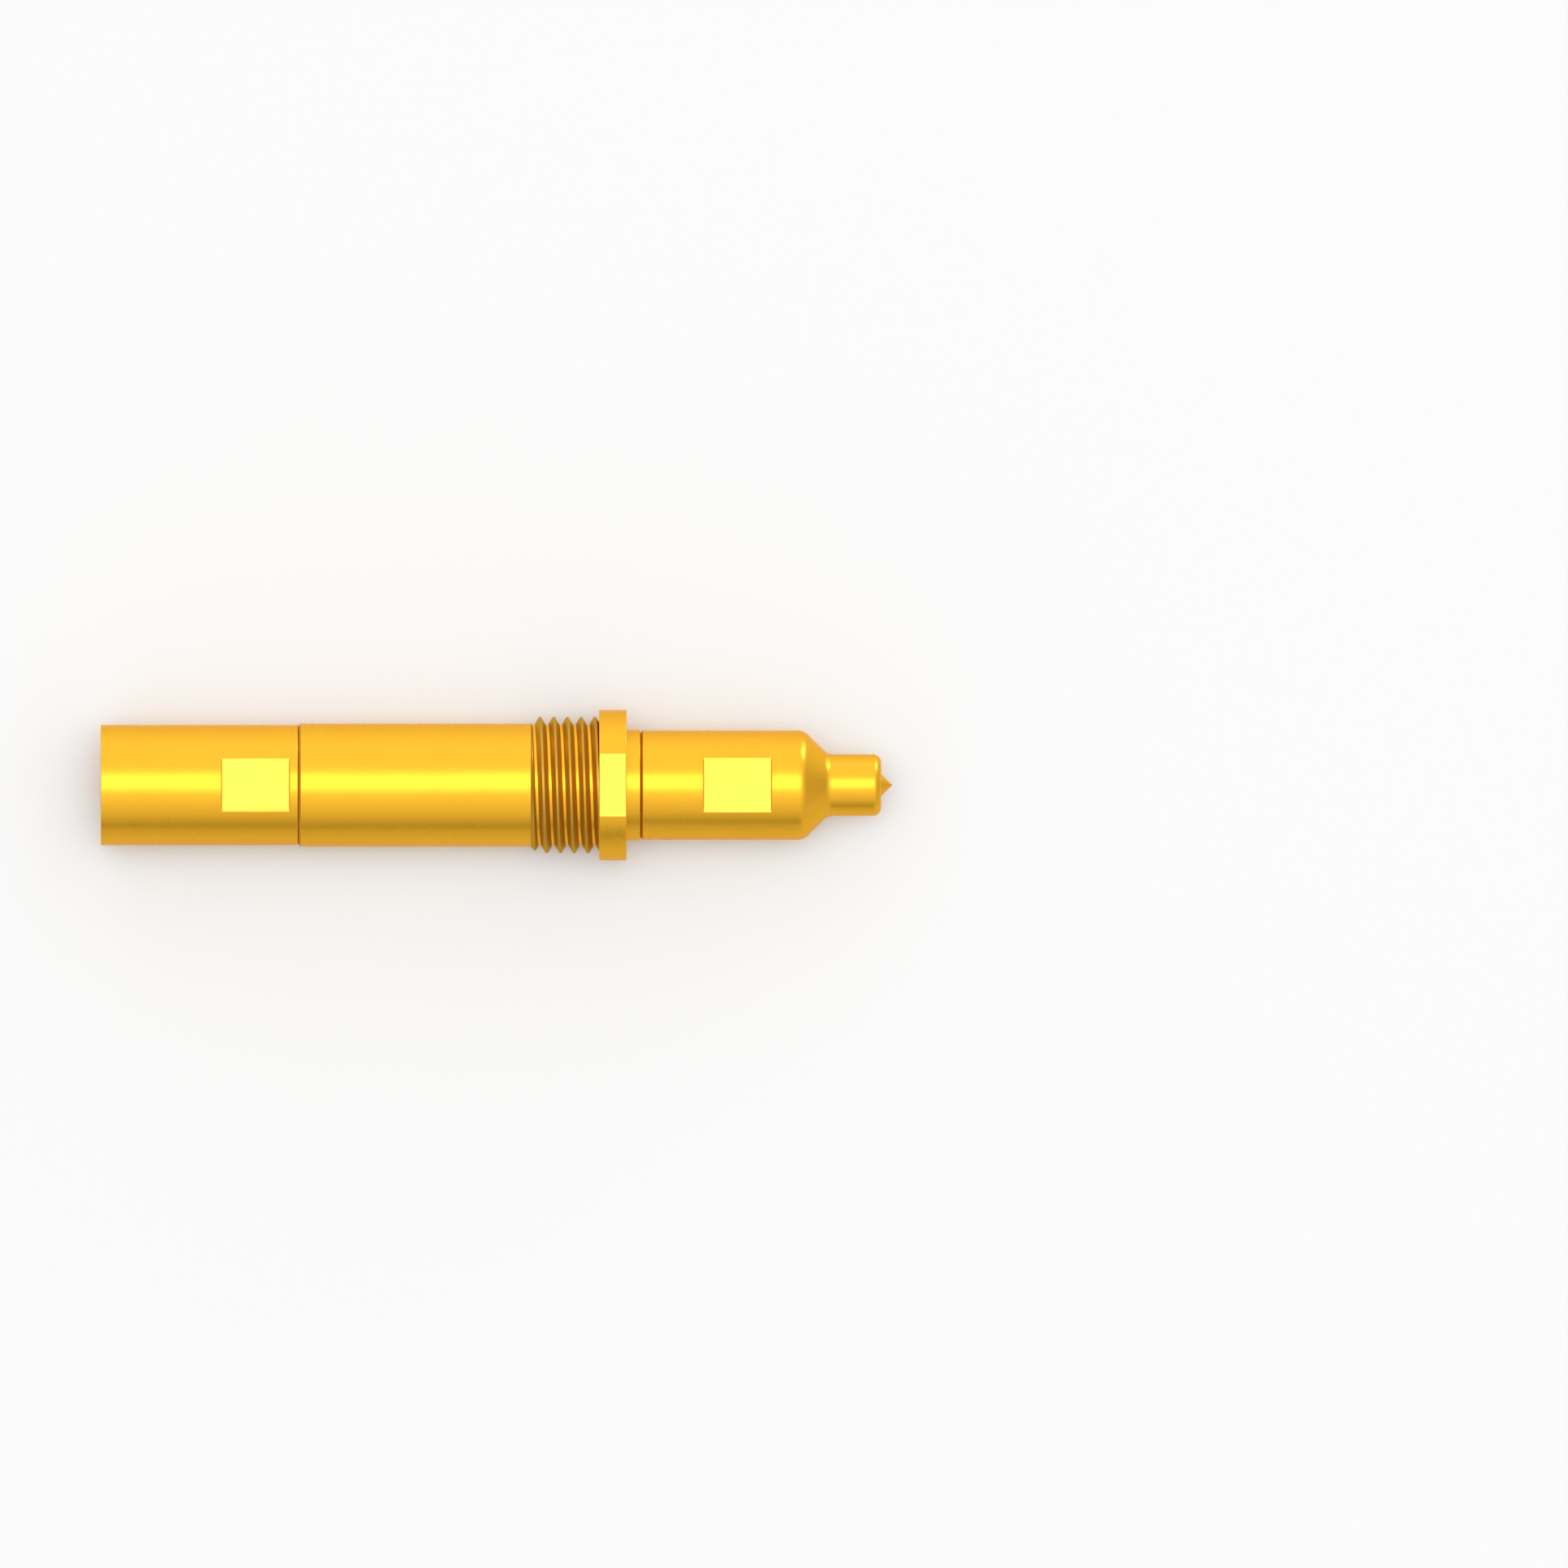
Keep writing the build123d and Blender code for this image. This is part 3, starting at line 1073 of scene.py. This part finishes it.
@dataclass
class CentreLine(Assembly):
    """The inner conductor: tube, centre rod and the jack's socket."""

    tube_reach: Reach = packed("pin_tube")
    rod_reach: Reach = packed("centre_conductor")
    socket_reach: Reach = packed("socket_contact")
    diameter: float = 1.02
    tube_bore: float = 0.84
    mouth_bore: float = 0.68
    mouth_length: float = 0.25
    mouth_rounding: float = 0.07
    spigot_diameter: float = 0.80
    groove_start: float = 2.9  # from the rod's rear end
    groove_length: float = 1.0
    groove_diameter: float = 0.82
    stem_bore: float = 0.56
    stem_bore_depth: float = 1.5
    socket_diameter: float = 0.9
    stem_diameter: float = 0.52
    socket_bore: float = 0.52
    socket_bore_depth: float = 2.4
    socket_rounding: float = 0.06
    socket_mouth_break: float = 0.08
    slot_length: float = 1.9
    slot_width: float = 0.1
    saw_run_out: float = 0.2

    def build(self) -> None:
        """Makes the three inner pieces."""
        self.build_tube()
        self.build_rod()
        self.build_socket()

    def make(self, name: str, section: Sequence[Corner], saw: Optional[Reach] = None) -> None:
        """Turns and plates one piece of the inner line.

        Args:
            name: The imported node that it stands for.
            section: Half its section.
            saw: Where it is sawn into four fingers, if it is.
        """
        mesh = turned(section, columns=INNER_COLUMNS).mesh(name)
        if saw:
            mesh = sawn(mesh, saw, self.slot_width, self.socket_diameter / 2)
        self.place(name, mesh, self.finishes.contact, Body.LINE)

    def build_tube(self) -> None:
        """Turns the tube, with its mouth rolled in round the pin's neck."""
        outside, bore, mouth_bore = radii(self.diameter, self.tube_bore, self.mouth_bore)
        rear, mouth = self.tube_reach
        step = mouth - self.mouth_length
        self.make("pin_tube", outline(
            (rear, outside, CRISP), (mouth, outside, self.mouth_rounding), (mouth, mouth_bore, BROKEN),
            (step, mouth_bore, BROKEN), (step, bore), (rear, bore, CRISP)))

    def build_rod(self) -> None:
        """Turns the centre rod, with the tube's spigot, the bead's groove and the socket's bore."""
        rear, front = self.rod_reach
        shoulder = self.tube_reach.rear
        outside, groove = radii(self.diameter, self.groove_diameter)
        spigot, bore = radii(self.spigot_diameter, self.stem_bore)
        groove_rear = rear + self.groove_start
        groove_front = groove_rear + self.groove_length
        bore_end = rear + self.stem_bore_depth
        self.make("centre_conductor", outline(
            (rear, outside, CRISP), (groove_rear, outside, CRISP), (groove_rear, groove),
            (groove_front, groove), (groove_front, outside, CRISP), (shoulder, outside, CRISP),
            (shoulder, spigot), (front, spigot, EASED), (front, 0), (bore_end, 0), (bore_end, bore),
            (rear, bore, CRISP)))

    def build_socket(self) -> None:
        """Turns the jack's centre socket and saws it into four fingers."""
        rear, front = self.socket_reach
        shoulder = self.rod_reach.rear
        outside, stem, bore = radii(self.socket_diameter, self.stem_diameter, self.socket_bore)
        bore_end = rear + self.socket_bore_depth
        self.make("socket_contact", outline(
            (rear, outside, self.socket_rounding), (shoulder, outside, CRISP), (shoulder, stem),
            (front, stem, BROKEN), (front, 0), (bore_end, 0), (bore_end, bore),
            (rear + self.socket_mouth_break, bore, BROKEN),
            (rear, bore + self.socket_mouth_break, BROKEN)),
            saw=Reach(rear - self.saw_run_out, rear + self.slot_length))


def sawn(blank: Mesh, reach: Reach, width: float, radius: float) -> Mesh:
    """Saws a cross through the end of a turned piece.

    Args:
        blank: The piece's mesh.
        reach: Where the cuts start, outside the piece, and where they end.
        width: The saw's width.
        radius: The piece's radius.

    Returns:
        The mesh with the cuts taken out.
    """
    piece = placed("blank", blank)
    middle = (reach.rear + reach.front) / 2
    length = reach.front - reach.rear
    saws = []
    for size_y, size_z in ((4 * radius, width), (width, 4 * radius)):
        work = bmesh.new()
        bmesh.ops.create_cube(work, size=1)
        for corner in work.verts:
            corner.co = (middle + corner.co.x * length, corner.co.y * size_y, corner.co.z * size_z)
        data = bpy.data.meshes.new("saw")
        work.to_mesh(data)
        work.free()
        saw = placed("saw", data)
        saws.append(saw)
        cut = piece.modifiers.new("cut", "BOOLEAN")
        cut.operation = "DIFFERENCE"
        cut.solver = "EXACT"
        cut.object = saw
    graph = bpy.context.evaluated_depsgraph_get()
    result = bpy.data.meshes.new_from_object(piece.evaluated_get(graph))
    for item in (piece, *saws):
        data = item.data
        bpy.data.objects.remove(item)
        bpy.data.meshes.remove(data)
    return result


@dataclass
class SpringPin(Assembly):
    """The pointed centre contact, with the pellet and spring behind it."""

    pin_reach: Reach = packed("contact_pin")
    pellet_reach: Reach = packed("pin_pellet")
    spring_reach: Reach = packed("pin_spring")
    face: float = field(default_factory=lambda: Reach.of("contact_head").front)
    tail_diameter: float = 0.78
    tail_length: float = 1.2
    neck_diameter: float = 0.62
    tip_diameter: float = 0.8
    tip_land: float = 0.9
    point_rounding: float = 0.02
    pellet_diameter: float = 0.7
    pellet_rounding: float = 0.06
    coil_diameter: float = 0.6
    wire: float = 0.1
    turns: float = 8.0

    def build(self) -> None:
        """Makes the pin, the pellet and the spring."""
        self.build_pin()
        self.build_pellet()
        coil = Coil(self.spring_reach, self.coil_diameter, self.wire, self.turns)
        self.wind("pin_spring", coil, Body.LINE, "pin_slide")

    def build_pin(self) -> None:
        """Turns the pin, pointed in front."""
        tail, neck, tip = radii(self.tail_diameter, self.neck_diameter, self.tip_diameter)
        rear = self.pin_reach.rear
        tail_front = rear + self.tail_length
        tip_rear = self.face - self.tip_land
        section = outline(
            (rear, 0), (rear, tail, EASED), (tail_front, tail, BROKEN), (tail_front, neck),
            (tip_rear, neck), (tip_rear, tip, EASED), (self.face, tip, BROKEN), *self.point())
        mesh = turned(section, columns=BEAD_COLUMNS).mesh("contact_pin")
        self.place("contact_pin", mesh, self.finishes.contact, Body.PIN)

    def point(self) -> list[tuple[float, float]]:
        """Rounds the point with a small ball.

        Returns:
            The ball's places and radii, from the end of the cone to the axis.
        """
        centre = self.pin_reach.front - self.point_rounding
        turns = [math.radians(angle) for angle in (45, 60, 75, 90)]
        return [(centre + self.point_rounding * math.sin(turn), self.point_rounding * math.cos(turn))
                for turn in turns]

    def build_pellet(self) -> None:
        """Makes the ceramic pellet, with its edges tumbled."""
        rear, front = self.pellet_reach
        radius = self.pellet_diameter / 2
        rounding = self.pellet_rounding
        section = outline((rear, 0), (rear, radius, rounding), (front, radius, rounding), (front, 0))
        mesh = turned(section, columns=PELLET_COLUMNS).mesh("pin_pellet")
        self.place("pin_pellet", mesh, self.finishes.ceramic, Body.PIN)


@dataclass
class Insulators(Assembly):
    """The beads that hold the inner conductor, and the jack's insulator."""

    bead_diameter: float = 2.31
    joint_bead_diameter: float = 3.0
    bead_bore: float = 1.06
    groove_bore: float = 0.86
    nose_diameter: float = 2.0
    flange_diameter: float = 3.0
    flange_length: float = 0.6
    socket_hole: float = 0.94
    nose_rounding: float = 0.05

    def build(self) -> None:
        """Makes the four insulators."""
        self.build_bead("front_bead", self.bead_diameter, self.bead_bore)
        self.build_bead("joint_bead", self.joint_bead_diameter, self.bead_bore)
        self.build_bead("middle_bead", self.bead_diameter, self.groove_bore)
        self.build_jack_insulator()

    def make(self, name: str, section: Sequence[Corner]) -> None:
        """Turns one insulator."""
        self.place(name, turned(section, columns=BEAD_COLUMNS).mesh(name), self.finishes.ptfe, Body.LINE)

    def build_bead(self, name: str, diameter: float, bore: float) -> None:
        """Turns a plain bead.

        Args:
            name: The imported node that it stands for.
            diameter: Its outside.
            bore: Its hole, round the inner conductor.
        """
        rear, front = Reach.of(name)
        outside, hole = radii(diameter, bore)
        self.make(name, outline((rear, outside, EASED), (front, outside, EASED), (front, hole, EASED),
                                (rear, hole, EASED)))

    def build_jack_insulator(self) -> None:
        """Turns the jack's insulator: a nose round the socket and a flange that is gripped."""
        rear, front = Reach.of("jack_insulator")
        step = front - self.flange_length
        nose, flange, hole = radii(self.nose_diameter, self.flange_diameter, self.socket_hole)
        self.make("jack_insulator", outline(
            (rear, nose, self.nose_rounding), (step, nose), (step, flange, EASED), (front, flange, EASED),
            (front, hole, EASED), (rear, hole, EASED)))


@dataclass
class Studio:
    """The pale floor, the soft light round the object and the camera above it."""

    view_width: float = 57.26
    view_centre: tuple[float, float] = (6.75, 0.04)
    camera_height: float = 400.0
    floor_size: float = 3000.0
    floor_colour: Colour = (0.66, 0.66, 0.66)
    floor_gloss: float = 0.22  # from above; it rises to 1 at a grazing look
    floor_shine: Colour = (0.95, 0.95, 0.95)
    floor_roughness: float = 0.35
    side_ramp: Stops = ((0.0, 0.26), (0.02, 0.46), (0.07, 0.66), (0.14, 0.76), (0.22, 0.84), (0.34, 0.98),
                        (0.5, 1.0))  # from -Y, through overhead at 0.5, on to +Y
    side_level: float = 1.12
    end_loss: float = 0.55  # towards either end of the probe
    strip_ramp: Stops = ((0.37, 0.0), (0.49, 1.0), (0.6, 1.0), (0.75, 0.0))
    strip_level: float = 1.4
    strip_start: float = 1.05
    strip_loss: float = 2.6
    strip_rise: float = 2.0  # above the horizon
    lamp_direction: Point = (0.57, 0.81, 0.09)
    lamp_distance: float = 250.0
    lamp_diameter: float = 72.0
    lamp_radiance: float = 6.5

    def build(self) -> None:
        """Sets up the whole studio."""
        self.build_floor()
        self.build_world()
        self.build_lamp()
        self.build_camera()
        bpy.context.scene.view_settings.view_transform = "Standard"

    def build_floor(self) -> None:
        """Lays the floor under the collar's lower flat."""
        low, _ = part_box("barrel")
        half = self.floor_size / 2 * MM
        corners = [(x * half, y * half, low.z) for x, y in ((-1, -1), (1, -1), (1, 1), (-1, 1))]
        data = bpy.data.meshes.new("floor")
        data.from_pydata(corners, [], [(0, 1, 2, 3)])
        data.materials.append(new_material("floor", self.floor_surface))
        floor = placed("floor", data)

    def floor_surface(self, graph: ShaderGraph) -> Socket:
        """Makes the floor a pale satin board.

        Args:
            graph: The material's graph.

        Returns:
            The board's shader.
        """
        matt = graph.node("ShaderNodeBsdfDiffuse", {}, {"Color": (*self.floor_colour, 1.0)})
        shine = graph.node("ShaderNodeBsdfGlossy", {},
                           {"Color": (*self.floor_shine, 1.0), "Roughness": self.floor_roughness})
        facing = graph.node("ShaderNodeLayerWeight", {}, {}, "Facing")
        share = facing * (1 - self.floor_gloss) + self.floor_gloss
        return graph.node("ShaderNodeMixShader", {}, {0: share, 1: matt, 2: shine})

    def build_world(self) -> None:
        """Lights the object from all round, dimmer towards -Y, with a long soft box overhead."""
        world = bpy.data.worlds.new("soft_studio")
        world.use_nodes = True
        bpy.context.scene.world = world
        graph = ShaderGraph(world.node_tree)
        direction = graph.node("ShaderNodeTexCoord", {}, {}, "Generated")
        along, across, up = (graph.node("ShaderNodeSeparateXYZ", {}, {0: direction}, axis)
                             for axis in range(3))
        place = across * 0.5 + 0.5
        fill = graph.node("ShaderNodeValToRGB", {"stops": self.side_ramp}, {0: place})
        box = graph.node("ShaderNodeValToRGB", {"stops": self.strip_ramp}, {0: place})
        ends = 1 - along * along * self.end_loss
        length = (self.strip_start - along * along * self.strip_loss).clamped()
        height = (up * self.strip_rise).clamped()
        level = fill * ends * self.side_level + box * (length * height) * self.strip_level
        sky = graph.node("ShaderNodeBackground", {}, {"Color": WHITE, "Strength": level})
        graph.close("ShaderNodeOutputWorld", sky)

    def build_lamp(self) -> None:
        """Hangs a round lamp near the horizon, which glints on the head's roundings."""
        data = bpy.data.lights.new("glint", "AREA")
        data.shape = "DISK"
        data.size = self.lamp_diameter * MM
        data.energy = self.lamp_radiance * math.pi * (math.pi / 4 * data.size ** 2)
        lamp = placed("glint", data)
        direction = Vector(self.lamp_direction).normalized()
        lamp.location = direction * self.lamp_distance * MM
        lamp.rotation_euler = direction.to_track_quat("Z", "Y").to_euler()
        lamp.visible_camera = False

    def build_camera(self) -> None:
        """Hangs the camera straight above, with +Y up in the picture."""
        data = bpy.data.cameras.new("camera")
        data.type = "ORTHO"
        data.ortho_scale = self.view_width * MM
        camera = placed("camera", data)
        camera.location = Vector((*self.view_centre, self.camera_height)) * MM
        bpy.context.scene.camera = camera


def main() -> None:
    """Builds and dresses every piece, then the studio."""
    logging.basicConfig(level=logging.INFO, format="%(name)s %(message)s")
    finishes = Finishes()
    for part in (MountingBarrel, SlidingLine, CentreLine, SpringPin, Insulators):
        part(finishes).build()
        log.info("%s built", part.__name__)
    Studio().build()


if __name__ == "__main__":
    main()
